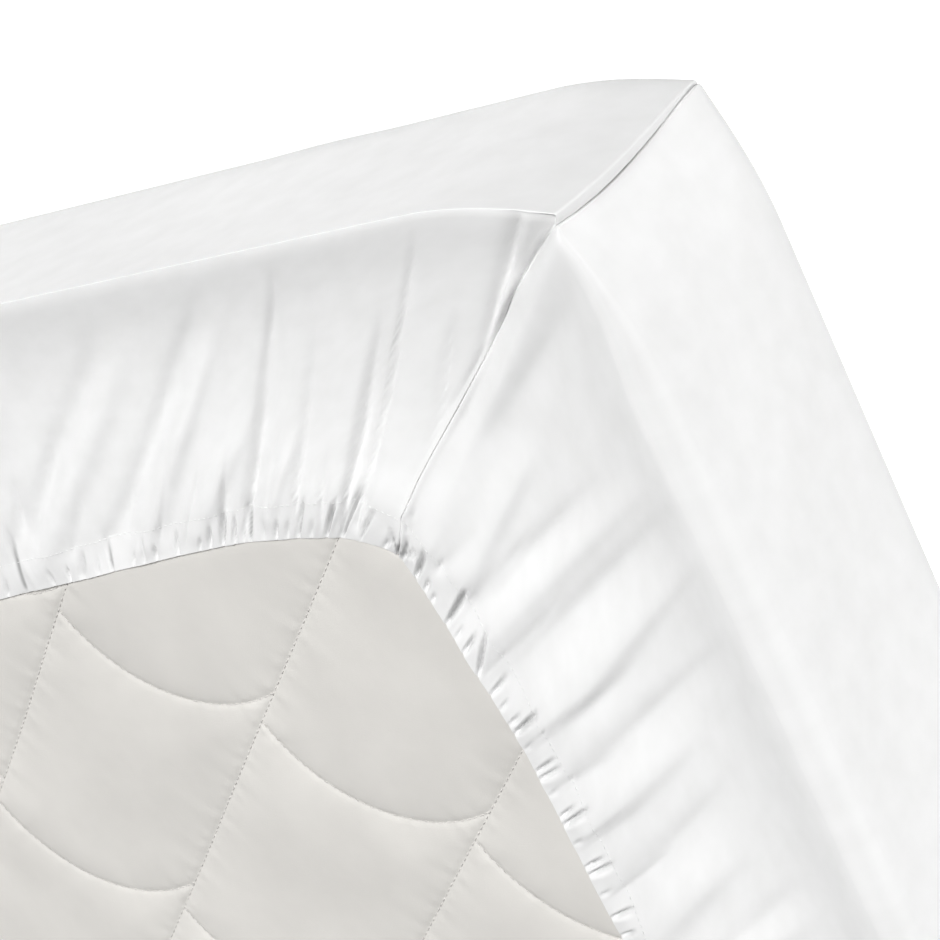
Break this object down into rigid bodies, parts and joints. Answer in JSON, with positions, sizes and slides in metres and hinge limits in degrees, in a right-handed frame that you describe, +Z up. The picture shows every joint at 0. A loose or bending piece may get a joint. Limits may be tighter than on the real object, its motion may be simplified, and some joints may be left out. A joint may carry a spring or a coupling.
{
  "type": "fitted sheet on mattress",
  "caption": "White elasticated fitted sheet wrapped over a thin quilted mattress, lying with its underside up.",
  "frame": {"origin": "centre of the mattress in plan, on the surface that the sleep face lies on", "axes": "+Z up through the mattress's underside, +Y along the mattress, +X across it; the corner that the picture shows is at lowest X and lowest Y"},
  "size_m": [0.907, 2.007, 0.1343],
  "materials": {
    "white_cotton": "smooth white cotton, woven fine, with a soft sheen",
    "quilted_ticking": "matt pale grey ticking, quilted with stitched lines and scallops"
  },
  "bodies": {
    "root": {"fitted_sheet": "white_cotton", "mattress": "quilted_ticking"}
  },
  "joints": []
}
